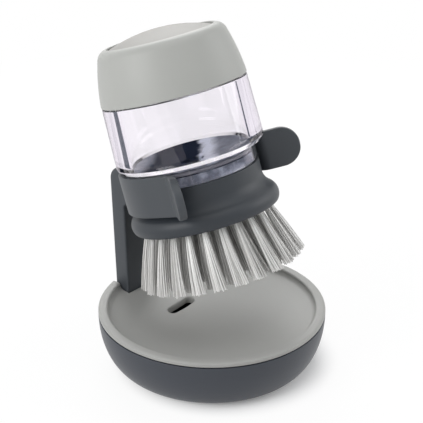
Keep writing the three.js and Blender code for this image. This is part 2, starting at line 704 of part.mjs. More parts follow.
const valveStep = blockTop - BLOCK_T / 4;
const throatR = OUTLET_R - VALVE_LIP;
place(brush, "bristle_block", SLATE, solid(turned([
  [OUTLET_R + SEAT_GAP, blockBottom],
  [BLOCK_R, blockBottom],
  [BLOCK_R, blockTop],
  [throatR, blockTop],
  [throatR, valveStep],
  [OUTLET_R + SEAT_GAP, valveStep],
], INNER_SIDES)));
const flangeTop = valveStep - SEAT_GAP;
const flangeBottom = flangeTop - VALVE_FLANGE_T;
const nozzleR = OUTLET_R - OUTLET_WALL - SEAT_GAP;
place(brush, "slit_valve", SILICONE, solid(turned([
  [0, flangeTop - VALVE_DEPTH],
  [nozzleR - VALVE_WALL, flangeTop - VALVE_DEPTH],
  [nozzleR, flangeBottom],
  [OUTLET_R, flangeBottom],
  [OUTLET_R, flangeTop],
  [nozzleR - VALVE_WALL, flangeTop],
  [nozzleR - 2 * VALVE_WALL, flangeTop - VALVE_DEPTH + VALVE_WALL],
  [0, flangeTop - VALVE_DEPTH + VALVE_WALL],
], INNER_SIDES)));
place(brush, "valve_retainer", SLATE, solid(turned([
  [OUTLET_R - OUTLET_WALL, backingBottom],
  [OUTLET_R, backingBottom],
  [OUTLET_R, flangeBottom - SEAT_GAP],
  [OUTLET_R - OUTLET_WALL, flangeBottom - SEAT_GAP],
], INNER_SIDES)));

// Bristles: tufts of slanted strands, fused to ring-shaped slices of their backing

const strandTop = backingBottom + BACKING_T / 2;
const strandBottom = -TIP_DEPTH;

/** One strand from its place on the backing to its tip, as a slim prism. */
function strand(from, to) {
  const ring = ([x, y], height) => Array.from({ length: STRAND_SIDES }, (_, i) => {
    const angle = (2 * Math.PI * i) / STRAND_SIDES;
    return [x + STRAND_R * Math.cos(angle), y + STRAND_R * Math.sin(angle), height];
  });
  return solid(skinned([ring(from, strandTop), ring(to, strandBottom)]));
}

/** A point of a tuft's strand circle: the tuft's direction, its distance and the circle's half sizes. */
function strandPoint(tuftAngle, distance, strandAngle, outwards, sideways) {
  const x = distance + outwards * Math.cos(strandAngle);
  const y = sideways * Math.sin(strandAngle);
  return [
    x * Math.cos(tuftAngle) - y * Math.sin(tuftAngle),
    x * Math.sin(tuftAngle) + y * Math.cos(tuftAngle),
  ];
}

TUFT_ROWS.forEach((row, index) => {
  const outside = index === 0 ? backingR : TUFT_ROWS[index - 1].from - SEAT_GAP;
  const pieces = [solid(turned([
    [row.from, backingBottom],
    [outside, backingBottom],
    [outside, backingBottom + BACKING_T],
    [row.from, backingBottom + BACKING_T],
  ]))];
  for (let i = 0; i < row.tufts; i++) {
    const tuftAngle = (2 * Math.PI * (i + row.turn)) / row.tufts;
    for (let j = 0; j < TUFT_STRANDS; j++) {
      const strandAngle = (2 * Math.PI * j) / TUFT_STRANDS;
      pieces.push(strand(
        strandPoint(tuftAngle, row.base, strandAngle, TUFT_R, TUFT_R),
        strandPoint(tuftAngle, row.tip, strandAngle, TUFT_SPREAD, TUFT_FAN),
      ));
    }
  }
  place(brush, row.name, BRISTLE, pieces.reduce((whole, piece) => whole.add(piece)));
});

export default object;
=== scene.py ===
"""Soap-dispensing palm brush in its stand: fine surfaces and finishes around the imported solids."""

import bmesh
import bpy
import numpy as np
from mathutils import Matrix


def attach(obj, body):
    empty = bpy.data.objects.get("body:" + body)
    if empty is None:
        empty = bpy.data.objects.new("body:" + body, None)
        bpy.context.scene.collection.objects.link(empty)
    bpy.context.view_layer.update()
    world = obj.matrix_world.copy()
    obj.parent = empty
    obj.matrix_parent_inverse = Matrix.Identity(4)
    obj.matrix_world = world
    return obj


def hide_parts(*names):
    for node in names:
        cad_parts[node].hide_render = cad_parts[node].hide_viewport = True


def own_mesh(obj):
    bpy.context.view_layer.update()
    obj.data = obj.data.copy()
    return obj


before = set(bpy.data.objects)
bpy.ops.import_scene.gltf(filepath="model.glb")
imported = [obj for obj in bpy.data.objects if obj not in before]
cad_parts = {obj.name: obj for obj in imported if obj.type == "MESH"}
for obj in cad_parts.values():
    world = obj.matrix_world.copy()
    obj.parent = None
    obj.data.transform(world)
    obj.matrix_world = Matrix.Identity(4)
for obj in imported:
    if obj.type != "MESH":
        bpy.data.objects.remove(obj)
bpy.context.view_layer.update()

# Sizes are in millimetres. On the brush, s runs up its axis from the shoulder's edge, and v is
# the direction across the axis towards the post.
MM = 0.001
TURN = 2 * np.pi
LEAN = np.radians(18.3)
PARK_Y, PARK_Z = 13.041, 106.434
SIDES = 144

# Rounds that many edges share, and the reach of the guard points beside a round, as a share of it
SLIGHT, FINE, MILD, SOFT = 0.2, 0.3, 0.4, 0.5
GUARD = 0.2

# Bowl
BOWL_R, BOWL_FOOT_R, BOWL_TOP, BOWL_WALL, BOWL_BOTTOM = 55.4, 42.0, 26.2, 2.6, 0.5
BOWL_FLOOR_UNDER, BOWL_FLOOR_TOP, PAD_RECESS_R = 1.5, 4.5, 39.9
BOWL_POINTS, HEEL_RISE, HEEL_W = 40, 0.2, 1.0

# Tray
TRAY_TOP, TRAY_UNDER, TRAY_T = 29.0, 26.5, 2.0
DISH_FLOOR, DISH_RISE, DISH_CURVE, DISH_R = 19.9, 6.1, 1.8, 49.9
RIM_W, RIM_ROUND, RIM_SQUARENESS, RIM_FOOT, RIM_UNDER_ROUND = 4.8, 1.6, 3.6, 2.6, 0.9
SKIRT_R, SKIRT_DROP, SKIRT_SET = 52.4, 1.7, 1.0
NOTCH_X, NOTCH_Y = 12.2, 43.417
NOTCH_R = np.hypot(NOTCH_X, NOTCH_Y)
SLOT_Y, SLOT_HALF, SLOT_R, SLOT_EASE, SLOT_WALL, SLOT_DEEP = 19.5, 6.4, 2.6, 0.8, 1.9, 3.3
RIM_POINTS, CREST_POINTS, RIM_FOOT_POINTS, NOTCH_POINTS = 181, 25, 6, 26
SLOT_ROWS, DISH_ROWS, DISH_SPREAD = 7, 26, 1.4

# Post and cradle
POST_HALF, POST_T, POST_FRONT, POST_RAKE, POST_EASE = 11.8, 8.2, 44.0, 0.029, 1.1
POST_FOOT_Y, POST_FOOT_UNDER, POST_FOOT_TOP = 24.2, 4.8, 9.8
POST_HEEL = [(45.0, POST_FOOT_UNDER), (48.0, 10.0), (49.9, 16.0), (50.9, 23.4)]
POST_CLEAR, POST_TOP_ROUND, POST_NOOK_ROUND, POST_EASE_ROWS = 23.6, 6.5, 2.0, 7
ARM_TOP, ARM_BOTTOM, ARM_IN, ARM_T = -2.6, -21.6, 31.903, 3.6
ARM_L, TIP_L, TIP_FLARE, ARM_BEND, ARM_EASE = 15.5, 17.9, np.radians(40.7), 2.6, 0.7
CRADLE_POINTS, CRADLE_BACK_POINTS, CRADLE_SECTION, CRADLE_EVEN = 261, 81, 40, 0.2
TIP_LEAST, TIP_THINNED = 1e-6, 0.999

# Reservoir and its thread
BORE_R, NECK_R, NECK_BOTTOM, NECK_BEVEL = 28.3, 30.3, -10.8, 0.9
SHOULDER_R, SHOULDER_UNDER, SHOULDER_BEVEL, BODY_H, BODY_TOP_R = 35.4, -2.3, 1.9, 29.0, 34.6
SHOULDER_EDGE, SHOULDER_TOP = -0.2, 1.2
NOOK_ROUND, BEVEL_ROUND, SHOULDER_ROUND = 0.8, 0.9, 1.6
MOUTH_R, MOUTH_TOP = 30.0, 39.0
PITCH, THREAD_TURNS, THREAD_DEPTH, THREAD_W, THREAD_BASE = 4.0, 1.25, 1.0, 1.5, 31.6
THREAD_CREST, THREAD_POINTS, MOUTH_SINK, CAP_SINK = 0.3, 120, 0.05, 0.3

# Cap, button and bellows
CAP_BOTTOM, CAP_CREST, CAP_R, CAP_TAPER, CAP_LINEAR = 29.4, 54.9, 34.8, 4.25, 0.45
CAP_SIDE_H, CAP_SIDE_DEG, CAP_ROUND, CAP_ROUND_END, CAP_OPENING = 21.6, 16.95, 5.5, 84, 25.29
CAP_IN, CAP_LEDGE_R, CAP_LEDGE, SLEEVE_BOTTOM = 31.3, 29.6, 43.0, 49.15
CAP_SIDE_POINTS, CAP_ROUND_STEPS = 25, 18
BUTTON_R, BUTTON_EDGE, BUTTON_DOME, BUTTON_UNDER = 24.59, 54.0, 4.5, 53.2
BUTTON_IN, STOP_R, STOP_TOP, STOP_BOTTOM = 22.79, 26.99, 48.85, 47.55
BUTTON_TRAVEL, DOME_SET_DEG, DOME_STEPS = 4.5, 0.6, 28
BELLOWS_R, BELLOWS_FOLD, BELLOWS_FOLDS, BELLOWS_WALL, BELLOWS_FOOT = 19.0, 3.6, 2, 1.2, 1.6
BELLOWS_BOTTOM, BELLOWS_TOP, BELLOWS_POINTS = 43.0, 52.9, 49

# Head
PLUG_R, PLUG_TOP, SOAP_R, SOAP_WALL, HEAD_TOP = 27.9, -1.0, 5.5, 2.5, -11.1
FUNNEL_BOTTOM, FUNNEL_BRIM, FUNNEL_ROUND, BRIM_ROUND = -4.5, 1.7, 0.8, 0.6
CHAMBER_R, CHAMBER_TOP = 25.1, -8.0
SEAL_R, SEAL_CENTRE_R, SEAL_S, SEAL_POINTS = 0.95, 27.05, -5.2, 24
GROOVE_R, GROOVE_HALF, GROOVE_LIP_ROUND = 25.95, 1.25, 0.15
FLARE_TOP, FLARE_R, FLARE_CENTRE_R, FLARE_DEG, FLARE_STEPS = -17.5, 8.3, 38.6, 53.13, 16
LIP_S, LIP_CENTRE_R, LIP_ROUND, LIP_END, LIP_UNDER, LIP_STEPS = -28.7, 30.2, 5.7, -26.0, -31.9, 20
LIP_DRAWN_IN, LIP_EDGE_ROUND = 0.45, 0.6
RECESS_R, BLOCK_SEAT, SEAT_W, FLARE_IN = 31.4, -24.2, 2.6, 28.6
PLATE_R, PLATE_BORE, PLATE_BOTTOM, PLATE_TOP = 30.8, 7.2, -31.6, -30.1

# Tufts
TUFT_TIPS, TUFT_SUNK, FIRST_SEED = -59.4, 0.6, 3
# pale is the range of each filament's tone, drawn at random per filament; the middle and inner rows get lower
# ranges, which is painted shade for the shadow they stand in behind the outer row.
TUFT_ROWS = {
    "bristles_outer": dict(
        tufts=24, filaments=34, base=28.6, tip=38.0, shift=0.44, foot=1.0, wide=(1.9, 3.4), pale=(0.35, 1.3)),
    "bristles_middle": dict(
        tufts=18, filaments=96, base=21.2, tip=29.6, shift=0.68, foot=2.6, wide=(3.4, 4.6), pale=(0.2, 0.9)),
    "bristles_inner": dict(
        tufts=12, filaments=96, base=12.4, tip=16.6, shift=0.2, foot=2.6, wide=(3.4, 4.4), pale=(0.1, 0.7)),
}
GOLDEN_ANGLE = 2.39996
FILAMENT_R, FILAMENT_SIDES, FILAMENT_ROWS, FILAMENT_BOW = 0.26, 4, 5, (0.15, 0.22)
TIP_LOOSE, TIP_WANDER, TRIM_UNEVEN = 0.16, 0.3, 0.22
TRIM_DOME, DOME_START, DOME_REACH, TUFT_SWAY = 0.9, 29.0, 10.0, (0.6, -0.75)

# Meshes: merging distances in metres, and the angle from which an edge stays sharp
MERGE, COLLAPSE, SHARP_ANGLE = 2e-6, 1e-7, np.radians(38)


# Surfaces

def on_brush(points):
    """Points (x, v, s) of the brush in the stand's frame: v and s are turned by the lean about X."""
    x, v, s = np.moveaxis(np.asarray(points, float), -1, 0)
    y = PARK_Y + v * np.cos(LEAN) + s * np.sin(LEAN)
    z = PARK_Z - v * np.sin(LEAN) + s * np.cos(LEAN)
    return np.stack([x, y, z], -1)


def quads(rows, columns, close_rows=False, close_columns=True):
    """Faces of a grid of points, row after row; a closing direction joins its last line to its first."""
    i = np.arange(rows if close_rows else rows - 1)[:, None]
    j = np.arange(columns if close_columns else columns - 1)[None, :]
    below, beside = (i + 1) % rows, (j + 1) % columns
    corners = [i * columns + j, i * columns + beside, below * columns + beside, below * columns + j]
    return np.stack(np.broadcast_arrays(*corners), -1).reshape(-1, 4)


def tube(rows, columns):
    """Faces of a closed section carried along a path, with one face over each end."""
    first, last = range(columns), range((rows - 1) * columns, rows * columns)
    return quads(rows, columns).tolist() + [list(first)[::-1], list(last)]


def arc(centre_r, centre_s, radius, start, end, steps):
    """Profile points centre + radius (cos t, sin t) for t from start to end in degrees."""
    t = np.radians(np.linspace(start, end, steps + 1))
    return np.stack([centre_r + radius * np.cos(t), centre_s + radius * np.sin(t)], -1)


def eased(corners, steps=6, closed=False):
    """A profile from corners (a, b), which stay sharp, and (a, b, round). A round corner becomes an arc
    that touches both edges, round / tan(half the angle) away from the corner, with a guard point just
    outside each end."""
    corners = [(np.array(c[:2], float), c[2] if len(c) == 3 else 0) for c in corners]
    count, points = len(corners), []
    for k, (corner, radius) in enumerate(corners):
        if radius == 0 or (not closed and k in (0, count - 1)):
            points.append(corner)
            continue
        before, after = corners[k - 1][0] - corner, corners[(k + 1) % count][0] - corner
        before, after = before / np.linalg.norm(before), after / np.linalg.norm(after)
        half = np.arccos(np.clip(before @ after, -1, 1)) / 2
        middle = before + after
        centre = corner + middle / np.linalg.norm(middle) * radius / np.sin(half)
        reach = radius / np.tan(half)
        first, last = corner + before * reach - centre, corner + after * reach - centre
        span = np.pi - 2 * half
        t = np.linspace(0, 1, steps + 1)[:, None]
        bend = (np.sin((1 - t) * span) * first + np.sin(t * span) * last) / np.sin(span)
        points.append(centre + first + before * GUARD * radius)
        points.extend(centre + bend)
        points.append(centre + last + after * GUARD * radius)
    return np.array(points)


def turned(profile, closed=True):
    """A surface of revolution: profile point (r, s) at angle a is (r cos a, r sin a, s)."""
    r, s = profile.T
    a = np.linspace(0, TURN, SIDES, endpoint=False)
    points = np.stack([np.outer(r, np.cos(a)), np.outer(r, np.sin(a)), np.outer(s, np.ones(SIDES))], -1)
    return points, quads(len(r), SIDES, closed)


def on_axis(profile, closed=True):
    """A surface of revolution about the brush's axis."""
    points, faces = turned(profile, closed)
    return on_brush(points), faces


def ridge(root, crest, middle, width):
    """A thread's ridge about the brush's axis: its section is a trapezium, width wide at the root, and
    section point (r, s) at angle a is (r cos a, r sin a, s + pitch a / turn)."""
    half, narrow = width / 2, THREAD_CREST * width
    r = np.array([root, crest, crest, root])
    s = np.array([middle - half, middle - narrow, middle + narrow, middle + half])
    a = np.linspace(0, TURN * THREAD_TURNS, THREAD_POINTS)[:, None]
    points = np.stack([r * np.cos(a), r * np.sin(a), s + PITCH * a / TURN], -1)
    return on_brush(points), tube(THREAD_POINTS, len(r))


def dish_height(x, y):
    """The dish's height floor + rise (r / R) ** curve at a point of the tray."""
    return DISH_FLOOR + DISH_RISE * (np.hypot(x, y) / DISH_R) ** DISH_CURVE


def slot_reach(angle):
    """Distance from the slot's middle to its outline: SLOT_R / |sin| on the straight sides, and
    half |cos| + sqrt(SLOT_R^2 - half^2 sin^2) on the round ends."""
    c, s = np.abs(np.cos(angle)), np.abs(np.sin(angle))
    straight = SLOT_R / np.maximum(s, 1e-9)
    ends = SLOT_HALF * c + np.sqrt(np.maximum(SLOT_R ** 2 - (SLOT_HALF * s) ** 2, 0))
    return np.where(straight * c <= SLOT_HALF, straight, ends)


def round_tray(r):
    """Angles round Z at radius r from one side of the notch to the other: 90 + e to 450 - e degrees,
    where sin e = notch / r."""
    edge = np.arcsin(NOTCH_X / r)
    return np.pi / 2 + edge + np.linspace(0, 1, RIM_POINTS) * (TURN - 2 * edge)


def tray_rim():
    """The tray's outer ring: its profile (r, z) carried round Z, with both ends on the notch's sides.
    The crest is half a superellipse (cos^(2/n), sin^(2/n)) of squareness n."""
    t = np.linspace(0, np.pi, CREST_POINTS)
    across = np.sign(np.cos(t)) * np.abs(np.cos(t)) ** (2 / RIM_SQUARENESS)
    up = np.abs(np.sin(t)) ** (2 / RIM_SQUARENESS)
    crest = np.stack([BOWL_R - RIM_W / 2 * (1 - across), TRAY_TOP - RIM_ROUND * (1 - up)], -1)
    foot = [(r, dish_height(r, 0)) for r in np.linspace(NOTCH_R, DISH_R - RIM_FOOT, RIM_FOOT_POINTS)]
    inside = eased([*foot, (DISH_R, dish_height(DISH_R, 0), RIM_FOOT), crest[-1]], steps=10)
    under = eased([
        (BOWL_R, TRAY_TOP - RIM_ROUND), (BOWL_R, TRAY_UNDER, RIM_UNDER_ROUND), (SKIRT_R, TRAY_UNDER),
        (SKIRT_R, TRAY_UNDER - SKIRT_DROP, FINE), (DISH_R - SKIRT_SET, dish_height(DISH_R, 0) - TRAY_T),
        (NOTCH_R, dish_height(NOTCH_R, 0) - TRAY_T),
    ])
    profile = np.concatenate([inside[:-1], crest[::-1], under[1:]])
    r, z = profile[:, :1], profile[:, 1:]
    angle = round_tray(r)
    points = np.stack([r * np.cos(angle), r * np.sin(angle), z + 0 * angle], -1)
    rows, columns = angle.shape
    ends = [[k * columns for k in range(rows)], [k * columns + columns - 1 for k in range(rows)]]
    return points, quads(rows, columns, close_columns=False).tolist() + ends


def tray_dish():
    """The tray's dish: straight rules from the slot's outline to the rim's inner edge and the notch's
    front, on the dish's height, doubled downwards by the thickness, eased into the slot and carried
    down round it as a short spout."""
    angle = round_tray(NOTCH_R)
    front = np.linspace(NOTCH_X, -NOTCH_X, NOTCH_POINTS)[1:-1]
    outer = np.concatenate([
        NOTCH_R * np.stack([np.cos(angle), np.sin(angle)], -1), np.stack([front, 0 * front + NOTCH_Y], -1),
    ])
    middle = np.array([0.0, SLOT_Y])
    toward = outer - middle
    reach = np.linalg.norm(toward, axis=1)
    toward = toward / reach[:, None]
    start = slot_reach(np.arctan2(toward[:, 1], toward[:, 0]))
    near = SLOT_EASE * (1 - np.cos(np.linspace(0, np.pi / 2, SLOT_ROWS)))
    away = np.linspace(0, 1, DISH_ROWS)[1:] ** DISH_SPREAD
    distance = np.concatenate([
        start + near[:, None], start + SLOT_EASE + away[:, None] * (reach - start - SLOT_EASE),
    ])
    flat = middle + distance[..., None] * toward
    top = dish_height(flat[..., 0], flat[..., 1])
    gap = np.clip(1 - (distance - start) / SLOT_EASE, 0, 1)
    eased_top = top - SLOT_EASE * (1 - np.sqrt(1 - gap ** 2))
    upper = np.concatenate([flat, eased_top[..., None]], -1)
    # The underside runs inwards and stops short of the spout's outer wall.
    lower = np.concatenate([flat, top[..., None] - TRAY_T], -1)[:SLOT_ROWS + 2:-1]
    spout = [(SLOT_WALL, TRAY_T), (SLOT_WALL, SLOT_DEEP), (0.0, SLOT_DEEP)]
    wall = np.stack([middle + (start + out)[:, None] * toward for out, _ in spout])
    drop = np.array([down for _, down in spout])[:, None]
    wall = np.concatenate([wall, (top[0] - drop)[..., None]], -1)
    points = np.concatenate([lower, wall, upper])
    rows, columns = points.shape[:2]
    last = (rows - 1) * columns
    edge = [RIM_POINTS - 1, *range(RIM_POINTS, columns), 0]
    strip = [[last + a, last + b, b, a] for a, b in zip(edge, edge[1:])]
    return points, quads(rows, columns).tolist() + strip


def cradle_path():
    """The cradle's middle line (x, v): flared tip, eased bend, arm, half circle round the neck, and back
    along the other side. Its points draw together towards both tips, as (1 - cos t) / 2 does."""
    middle = ARM_IN + ARM_T / 2
    away = np.array([np.sin(TIP_FLARE), -np.cos(TIP_FLARE)])
    bend = np.array([middle, -ARM_L])
    side = eased([bend + TIP_L * away, (*bend, ARM_BEND + ARM_T / 2), (middle, 0.0)], steps=10)
    t = np.linspace(0, np.pi, CRADLE_BACK_POINTS)[1:-1]
    back = middle * np.stack([np.cos(t), np.sin(t)], -1)
    line = np.concatenate([side, back, side[::-1] * [-1, 1]])
    length = np.concatenate([[0], np.cumsum(np.linalg.norm(np.diff(line, axis=0), axis=1))])
    ease = 0.5 - 0.5 * np.cos(np.linspace(0, np.pi, CRADLE_POINTS))
    even = np.linspace(0, 1, CRADLE_POINTS)
    at = length[-1] * (CRADLE_EVEN * even + (1 - CRADLE_EVEN) * ease)
    return np.stack([np.interp(at, length, line[:, k]) for k in (0, 1)], -1), at, length[-1]


def cradle_band():
    """A rounded-rectangle section carried along the cradle's middle line. Its half height near an end
    at distance d is sqrt(R^2 - (R - d)^2), so the tips are half discs, and its thickness thins there."""
    line, at, total = cradle_path()
    along = np.gradient(line, axis=0)
    along = along / np.linalg.norm(along, axis=1)[:, None]
    outward = np.stack([along[:, 1], -along[:, 0]], -1)
    tall = (ARM_TOP - ARM_BOTTOM) / 2
    d = np.minimum(at, total - at)
    half = np.sqrt(np.maximum(tall ** 2 - np.maximum(tall - d, 0) ** 2, TIP_LEAST))[:, None]
    thick = ARM_T / 2 * np.sqrt(1 - np.clip(1 - d / ARM_EASE, 0, TIP_THINNED) ** 2)[:, None]
    ease = np.minimum(np.minimum(half, thick), ARM_EASE)
    t = np.arange(CRADLE_SECTION) / CRADLE_SECTION * TURN + TURN / (2 * CRADLE_SECTION)
    across = (thick - ease) * np.sign(np.cos(t)) + ease * np.cos(t)
    up = (half - ease) * np.sign(np.sin(t)) + ease * np.sin(t)
    flat = line[:, None, :] + across[..., None] * outward[:, None, :]
    points = np.concatenate([flat, (up + (ARM_TOP + ARM_BOTTOM) / 2)[..., None]], -1)
    return on_brush(points), tube(*points.shape[:2])


def post_body():
    """The post's side outline (y, z) carried across X. Near each side, at a height h of the easing
    arc, the outline is drawn in along its normals by ease (1 - sin h)."""
    def parked(v, s):
        return on_brush(np.array([0.0, v, s]))[1:]

    def leaned(z, depth):
        return POST_FRONT + depth + (z - BOWL_TOP) * POST_RAKE

    def crossing(s, depth):
        reach = leaned(PARK_Z + s * np.cos(LEAN), depth) - PARK_Y - s * np.sin(LEAN)
        return reach / (np.cos(LEAN) + POST_RAKE * np.sin(LEAN))

    web = ARM_IN + ARM_T / 2
    outline = eased([
        (POST_FOOT_Y, POST_FOOT_UNDER), *POST_HEEL, (leaned(POST_CLEAR, POST_T), POST_CLEAR),
        (*parked(crossing(ARM_TOP, POST_T), ARM_TOP), POST_TOP_ROUND),
        parked(web, ARM_TOP), parked(web, ARM_BOTTOM),
        (*parked(crossing(ARM_BOTTOM, 0), ARM_BOTTOM), POST_NOOK_ROUND),
        (leaned(POST_FOOT_TOP, 0), POST_FOOT_TOP), (POST_FOOT_Y, POST_FOOT_TOP),
    ], steps=10, closed=True)
    step = np.roll(outline, -1, 0) - np.roll(outline, 1, 0)
    normal = np.stack([step[:, 1], -step[:, 0]], -1)
    normal = normal / np.linalg.norm(normal, axis=1)[:, None]
    h = np.linspace(0, np.pi / 2, POST_EASE_ROWS)
    inset = POST_EASE * np.concatenate([1 - np.sin(h), (1 - np.sin(h))[::-1]])
    reach = POST_HALF - POST_EASE * (1 - np.cos(h))
    x = np.concatenate([-reach, reach[::-1]])
    flat = outline[None] - inset[:, None, None] * normal[None]
    points = np.concatenate([np.broadcast_to(x[:, None, None], (*flat.shape[:2], 1)), flat], -1)
    return points, tube(*points.shape[:2])


def tuft_ring(tufts, filaments, base, tip, shift, foot, wide, pale, seed):
    """Tufts of slim four-sided filaments. Filament i of a tuft starts at radius R sqrt(i / n) and the
    golden angle times i round the tuft, and runs to the same place in the wider circle at the tips,
    with a small outward bow 4 t (1 - t), a sway that grows as t^2, and a trim that varies by a few
    tenths and rises as ((r - start) / reach)^2 towards the outside."""
    rng = np.random.default_rng(seed)
    around = TURN * (np.arange(tufts) + shift) / tufts
    i = np.arange(filaments)
    spot = np.sqrt((i + 0.5) / filaments)[None, :]
    turn = GOLDEN_ANGLE * i[None, :] + rng.uniform(0, TURN, (tufts, 1))
    loose = rng.normal(0, TIP_LOOSE, (2, tufts, filaments))
    offset = np.stack([spot * np.cos(turn), spot * np.sin(turn)])
    t = np.linspace(0, 1, FILAMENT_ROWS)[:, None, None]
    wander = rng.normal(0, TIP_WANDER, (2, tufts, 1))
    bow = rng.normal(*FILAMENT_BOW, (tufts, filaments))
    across = [offset[k] * foot * (1 - t) + (offset[k] * wide[k] + loose[k] + wander[k]) * t for k in (0, 1)]
    radius = base + (tip - base) * t + across[0] + 4 * t * (1 - t) * bow
    trim = rng.normal(0, TRIM_UNEVEN, (tufts, filaments))
    dome = TRIM_DOME * (np.maximum(radius[-1] - DOME_START, 0) / DOME_REACH) ** 2
    root = PLATE_BOTTOM + TUFT_SUNK
    s = root + (TUFT_TIPS + trim + dome - root) * t
    c, n = np.cos(around)[None, :, None], np.sin(around)[None, :, None]
    sway_x, sway_v = (side * t ** 2 for side in TUFT_SWAY)
    centre = np.stack([radius * c - across[1] * n + sway_x, radius * n + across[1] * c + sway_v, s], -1)
    sides = np.arange(FILAMENT_SIDES)
    corner = TURN * sides / FILAMENT_SIDES + rng.uniform(0, TURN, (tufts, filaments, 1))
    square = FILAMENT_R * np.stack([np.cos(corner), np.sin(corner), 0 * corner], -1)
    points = np.moveaxis(centre, 0, 2)[:, :, :, None, :] + square[:, :, None, :, :]
    size, count = FILAMENT_ROWS * FILAMENT_SIDES, tufts * filaments
    strand = np.array(tube(FILAMENT_ROWS, FILAMENT_SIDES))
    faces = (strand[None] + size * np.arange(count)[:, None, None]).reshape(-1, 4)
    tone = np.repeat(rng.uniform(*pale, count), size)
    return on_brush(points.reshape(-1, 3)), faces, tone


def piece(name, body, finish, parts, nodes, tone=None):
    """One object at the origin, made of (points, faces) parts in millimetres, that rides on a body.
    Filaments, which have a tone at each point, stay as they are; other pieces are merged."""
    points = np.concatenate([p.reshape(-1, 3) for p, _ in parts]) * MM
    faces, start = [], 0
    for p, f in parts:
        faces += [[int(k) + start for k in face] for face in f]
        start += p.size // 3
    mesh = bpy.data.meshes.new(name)
    mesh.from_pydata(points.tolist(), [], faces)
    if tone is None:
        work = bmesh.new()
        work.from_mesh(mesh)
        bmesh.ops.remove_doubles(work, verts=work.verts, dist=MERGE)
        bmesh.ops.dissolve_degenerate(work, edges=work.edges, dist=COLLAPSE)
        bmesh.ops.recalc_face_normals(work, faces=work.faces)
        work.to_mesh(mesh)
        work.free()
    else:
        mesh.attributes.new("tone", "FLOAT", "POINT").data.foreach_set("value", tone.astype(np.float32))
    mesh.shade_smooth()
    mesh.set_sharp_from_angle(angle=SHARP_ANGLE)
    mesh.materials.append(finish)
    made = bpy.data.objects.new(name, mesh)
    bpy.context.scene.collection.objects.link(made)
    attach(made, body)
    if nodes:
        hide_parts(*nodes)
    return made


# Finishes

WHITE = (1, 1, 1, 1)

# Noise of moulded plastic per metre, and relief in metres
SPARK_GRAIN, SPARK_PITS, CLOUDING = 2600.0, 900.0, 38.0
FLOW_RELIEF, BLOOM_RELIEF, FINE_RELIEF, TURNING_RELIEF = 0.00006, 0.00003, 0.00002, 0.00001

# Painted light on the plug, in metres: where each part of it sets in, from none to all. ACROSS is the
# direction over the plug's floor that the painted patches of light follow, as shares of x and v.
ACROSS_X, ACROSS_V = 0.608, 0.794
PAINTED_LEFT, PAINTED_RIGHT, PAINTED_FOOT_LINE = (-0.017, -0.0235), (0.006, 0.013), (-0.0101, -0.0105)
PATCH_START, PATCH_END, PATCH_UNEVEN = (0.002, 0.007), (0.0145, 0.006), 0.009
WALL_START = ((27.2 * MM) ** 2, (27.6 * MM) ** 2)


class Wire:
    """An output socket of a finish. Arithmetic with numbers and other wires adds Math nodes."""

    def __init__(self, finish, socket):
        self.finish, self.socket = finish, socket

    def _math(self, operation, first, second):
        return self.finish.add("ShaderNodeMath", {"operation": operation}, {0: first, 1: second})

    def __add__(self, other):
        return self._math("ADD", self, other)

    def __sub__(self, other):
        return self._math("SUBTRACT", self, other)

    def __mul__(self, other):
        return self._math("MULTIPLY", self, other)

    def __rsub__(self, other):
        return self._math("SUBTRACT", other, self)

    __radd__, __rmul__ = __add__, __mul__

    def most(self, other):
        """The smaller of this and another value."""
        return self._math("MINIMUM", self, other)

    def either(self, other):
        """The larger of this and another value."""
        return self._math("MAXIMUM", self, other)


class Nodes:
    """A shader tree that is built from nodes added one by one."""

    def __init__(self, tree):
        self.tree = tree

    def add(self, kind, settings=None, inputs=None, output=0):
        """A node of a kind: its settings first, then the values or wires of its sockets."""
        node = self.tree.nodes.new(kind)
        for key, value in (settings or {}).items():
            if key == "stops":
                for stop, (position, tone) in zip(node.color_ramp.elements, value):
                    stop.position, stop.color = position, (tone, tone, tone, 1)
            else:
                setattr(node, key, value)
        for key, value in (inputs or {}).items():
            if isinstance(value, Wire):
                self.tree.links.new(value.socket, node.inputs[key])
            else:
                node.inputs[key].default_value = value
        return Wire(self, node.outputs[output])

    def ramp(self, wire, low, high):
        """A value carried from 0 at low to 1 at high."""
        return self.add("ShaderNodeValToRGB", {"stops": [(low, 0.0), (high, 1.0)]}, {"Fac": wire})

    def between(self, wire, low, high):
        """A value of any range carried smoothly from 0 at low to 1 at high."""
        return self.add("ShaderNodeMapRange", {"interpolation_type": "SMOOTHSTEP"}, {
            "Value": wire, "From Min": low, "From Max": high,
        })

    def within(self, wire, start, end):
        """1 between the soft start and the soft end of a range, 0 outside it."""
        return self.between(wire, *start) * self.between(wire, *end)

    def blend(self, first, second, share):
        """A colour between two colours."""
        return self.add("ShaderNodeMix", {"data_type": "RGBA"}, {0: share, 6: first, 7: second}, 2)

    def mixed(self, first, second, share):
        """A shader between two shaders."""
        return self.add("ShaderNodeMixShader", None, {0: share, 1: first, 2: second})

    def glow(self, kind, tone, strength=1.0):
        """A shader that gives off light: Emission on a surface, Background in the world."""
        return self.add(kind, None, {"Color": tone, "Strength": strength})

    def show(self, shader, output):
        """Links a shader to the surface of the tree's output node."""
        self.tree.links.new(shader.socket, self.tree.nodes[output].inputs["Surface"])

    def rays(self):
        """Which rays show the plain white surroundings, and which have been mirrored by a clear wall."""
        camera, mirror, through, sharp, depth = (self.add("ShaderNodeLightPath", output=kind) for kind in (
            "Is Camera Ray", "Is Glossy Ray", "Is Transmission Ray", "Is Singular Ray", "Glossy Depth"))
        return camera.either(mirror).either(through), sharp * depth.most(1.0)


